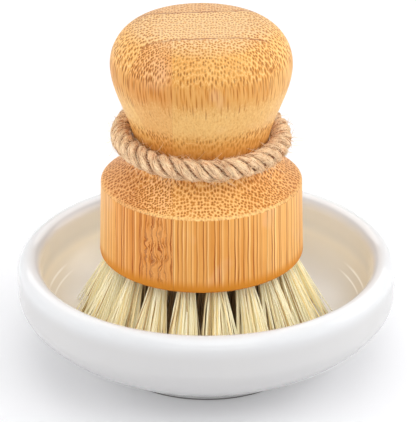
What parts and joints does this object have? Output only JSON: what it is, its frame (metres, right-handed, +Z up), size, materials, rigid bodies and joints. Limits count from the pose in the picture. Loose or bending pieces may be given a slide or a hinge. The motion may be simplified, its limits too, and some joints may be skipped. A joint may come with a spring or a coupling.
{
  "type": "dish brush with holder dish",
  "caption": "Palm-grip dish brush: a turned bamboo knob with a jute neck loop and splayed plant-fibre bristle tufts, standing in a glazed dish.",
  "frame": {"origin": "middle of the dish's foot ring, on the surface that it stands on", "axes": "+Z up along the dish's axis; the brush's own axis is parallel to it, 1.4 mm towards -X; -Y is the pictured front"},
  "size_m": [0.1082, 0.1082, 0.1022],
  "materials": {
    "ceramic": "glossy white glaze",
    "bamboo": "sanded and oiled laminated bamboo",
    "fibre": "stiff straw-coloured plant fibre",
    "jute": "three-strand laid jute",
    "wire": "drawn flat wire"
  },
  "bodies": {
    "holder": {"holder_dish": "ceramic"},
    "brush": {"wooden_body": "bamboo", "tuft_outer_01": "fibre", "tuft_outer_02": "fibre", "tuft_outer_03": "fibre", "tuft_outer_04": "fibre", "tuft_outer_05": "fibre", "tuft_outer_06": "fibre", "tuft_outer_07": "fibre", "tuft_outer_08": "fibre", "tuft_outer_09": "fibre", "tuft_outer_10": "fibre", "tuft_outer_11": "fibre", "tuft_outer_12": "fibre", "tuft_outer_13": "fibre", "tuft_outer_14": "fibre", "tuft_outer_15": "fibre", "tuft_outer_16": "fibre", "tuft_outer_17": "fibre", "tuft_outer_18": "fibre", "tuft_middle_01": "fibre", "tuft_middle_02": "fibre", "tuft_middle_03": "fibre", "tuft_middle_04": "fibre", "tuft_middle_05": "fibre", "tuft_middle_06": "fibre", "tuft_middle_07": "fibre", "tuft_middle_08": "fibre", "tuft_middle_09": "fibre", "tuft_centre_01": "fibre", "wire_outer_01": "wire", "wire_outer_02": "wire", "wire_outer_03": "wire", "wire_outer_04": "wire", "wire_outer_05": "wire", "wire_outer_06": "wire", "wire_outer_07": "wire", "wire_outer_08": "wire", "wire_outer_09": "wire", "wire_outer_10": "wire", "wire_outer_11": "wire", "wire_outer_12": "wire", "wire_outer_13": "wire", "wire_outer_14": "wire", "wire_outer_15": "wire", "wire_outer_16": "wire", "wire_outer_17": "wire", "wire_outer_18": "wire", "wire_middle_01": "wire", "wire_middle_02": "wire", "wire_middle_03": "wire", "wire_middle_04": "wire", "wire_middle_05": "wire", "wire_middle_06": "wire", "wire_middle_07": "wire", "wire_middle_08": "wire", "wire_middle_09": "wire", "wire_centre_01": "wire"},
    "rope": {"rope_loop": "jute", "rope_binding": "jute"}
  },
  "joints": [
    {"name": "brush_lift", "type": "slide", "parent": "holder", "child": "brush", "axis": [0, 0, 1], "range_m": [0, 0.12]},
    {"name": "rope_swivel", "type": "hinge", "parent": "brush", "child": "rope", "pos_m": [-0.0014, 0, 0.0686], "axis": [0, 0, 1], "continuous": true}
  ]
}
